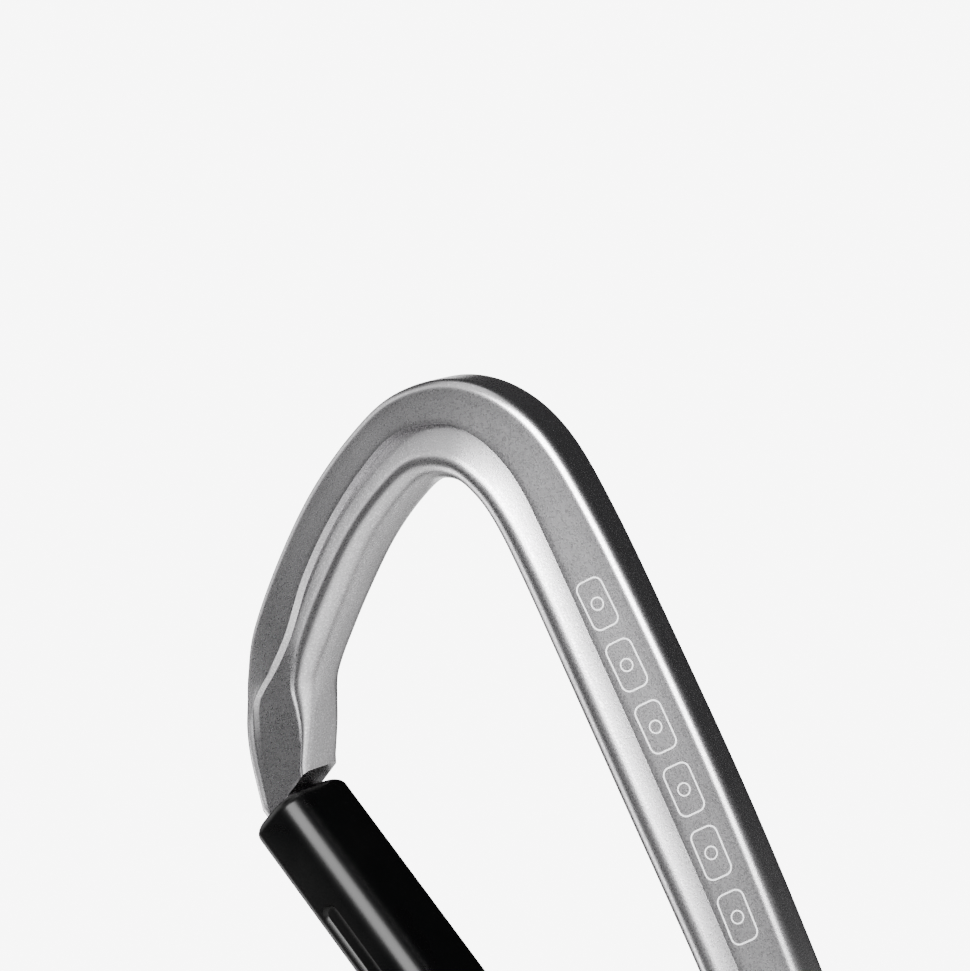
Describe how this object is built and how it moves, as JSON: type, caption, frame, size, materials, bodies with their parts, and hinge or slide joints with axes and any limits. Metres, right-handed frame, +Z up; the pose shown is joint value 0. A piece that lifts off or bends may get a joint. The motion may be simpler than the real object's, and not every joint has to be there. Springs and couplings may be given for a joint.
{
  "type": "climbing quickdraw",
  "caption": "Climbing quickdraw: forged snap carabiners with sprung black gates, joined by a short sewn webbing sling with a rubber keeper.",
  "frame": {"origin": "highest inner point of the top carabiner's wide end, where the quickdraw hangs", "axes": "+Z up along the hanging quickdraw, +X from the gates to the spines, +Y across the carabiners' flat sides"},
  "size_m": [0.0575, 0.017, 0.293],
  "materials": {
    "forged_aluminium": "satin grey anodised, bead blasted",
    "black_gate": "gloss black anodised aluminium",
    "rivet_steel": "bright steel",
    "spring_steel": "bright steel wire",
    "dark_webbing": "woven, matt",
    "orange_thread": "dense stitching, matt",
    "label_fabric": "woven label, blank",
    "keeper_rubber": "moulded, matt"
  },
  "bodies": {
    "top_carabiner": {"top_carabiner_body": "forged_aluminium", "top_gate_rivet": "rivet_steel"},
    "top_gate": {"top_gate": "black_gate", "top_gate_spring": "spring_steel"},
    "top_plunger": {"top_gate_plunger": "rivet_steel"},
    "upper_loop": {"sling_upper_loop": "dark_webbing"},
    "shank": {"sling_front_layer": "dark_webbing", "sling_back_layer": "dark_webbing", "sling_tail_overlap": "dark_webbing", "sling_label": "label_fabric", "top_bar_tack_front": "orange_thread", "top_bar_tack_back": "orange_thread", "upper_bar_tack_front": "orange_thread", "upper_bar_tack_back": "orange_thread", "lower_bar_tack_front": "orange_thread", "lower_bar_tack_back": "orange_thread", "bottom_bar_tack_front": "orange_thread", "bottom_bar_tack_back": "orange_thread"},
    "bottom_carabiner": {"bottom_carabiner_body": "forged_aluminium", "bottom_gate_rivet": "rivet_steel", "sling_lower_loop": "dark_webbing", "rubber_keeper": "keeper_rubber"},
    "bottom_gate": {"bottom_gate": "black_gate", "bottom_gate_spring": "spring_steel"},
    "bottom_plunger": {"bottom_gate_plunger": "rivet_steel"}
  },
  "joints": [
    {"name": "top_gate_hinge", "type": "hinge", "parent": "top_carabiner", "child": "top_gate", "pos_m": [-0.0204, 0, -0.0723], "axis": [0, 1, 0], "range_deg": [0, 28], "stiffness_Nm_per_rad": 0.08, "springref_deg": -34.38},
    {"name": "top_plunger_slide", "type": "slide", "parent": "top_gate", "child": "top_plunger", "axis": [-0.2957, 0, 0.9553], "range_m": [0, 0.0014], "deforming": ["top_gate_spring"]},
    {"name": "upper_loop_rock", "type": "hinge", "parent": "top_carabiner", "child": "upper_loop", "pos_m": [-0.0058, 0, -0.0836], "axis": [0, 1, 0], "range_deg": [-8, 8]},
    {"name": "upper_webbing_flex", "type": "hinge", "parent": "upper_loop", "child": "shank", "pos_m": [-0.0058, 0, -0.1009], "axis": [1, 0, 0], "range_deg": [-45, 45]},
    {"name": "lower_webbing_flex", "type": "hinge", "parent": "shank", "child": "bottom_carabiner", "pos_m": [-0.0058, 0, -0.1729], "axis": [1, 0, 0], "range_deg": [-45, 45]},
    {"name": "bottom_gate_hinge", "type": "hinge", "parent": "bottom_carabiner", "child": "bottom_gate", "pos_m": [-0.0204, 0, -0.2015], "axis": [0, -1, 0], "range_deg": [0, 28], "stiffness_Nm_per_rad": 0.08, "springref_deg": -34.38},
    {"name": "bottom_plunger_slide", "type": "slide", "parent": "bottom_gate", "child": "bottom_plunger", "axis": [-0.2957, 0, -0.9553], "range_m": [0, 0.0014], "deforming": ["bottom_gate_spring"]}
  ],
  "couplings": [
    {"joint": "top_plunger_slide", "follows": "top_gate_hinge", "m_per_rad": 0.00286},
    {"joint": "bottom_plunger_slide", "follows": "bottom_gate_hinge", "m_per_rad": 0.00286}
  ]
}
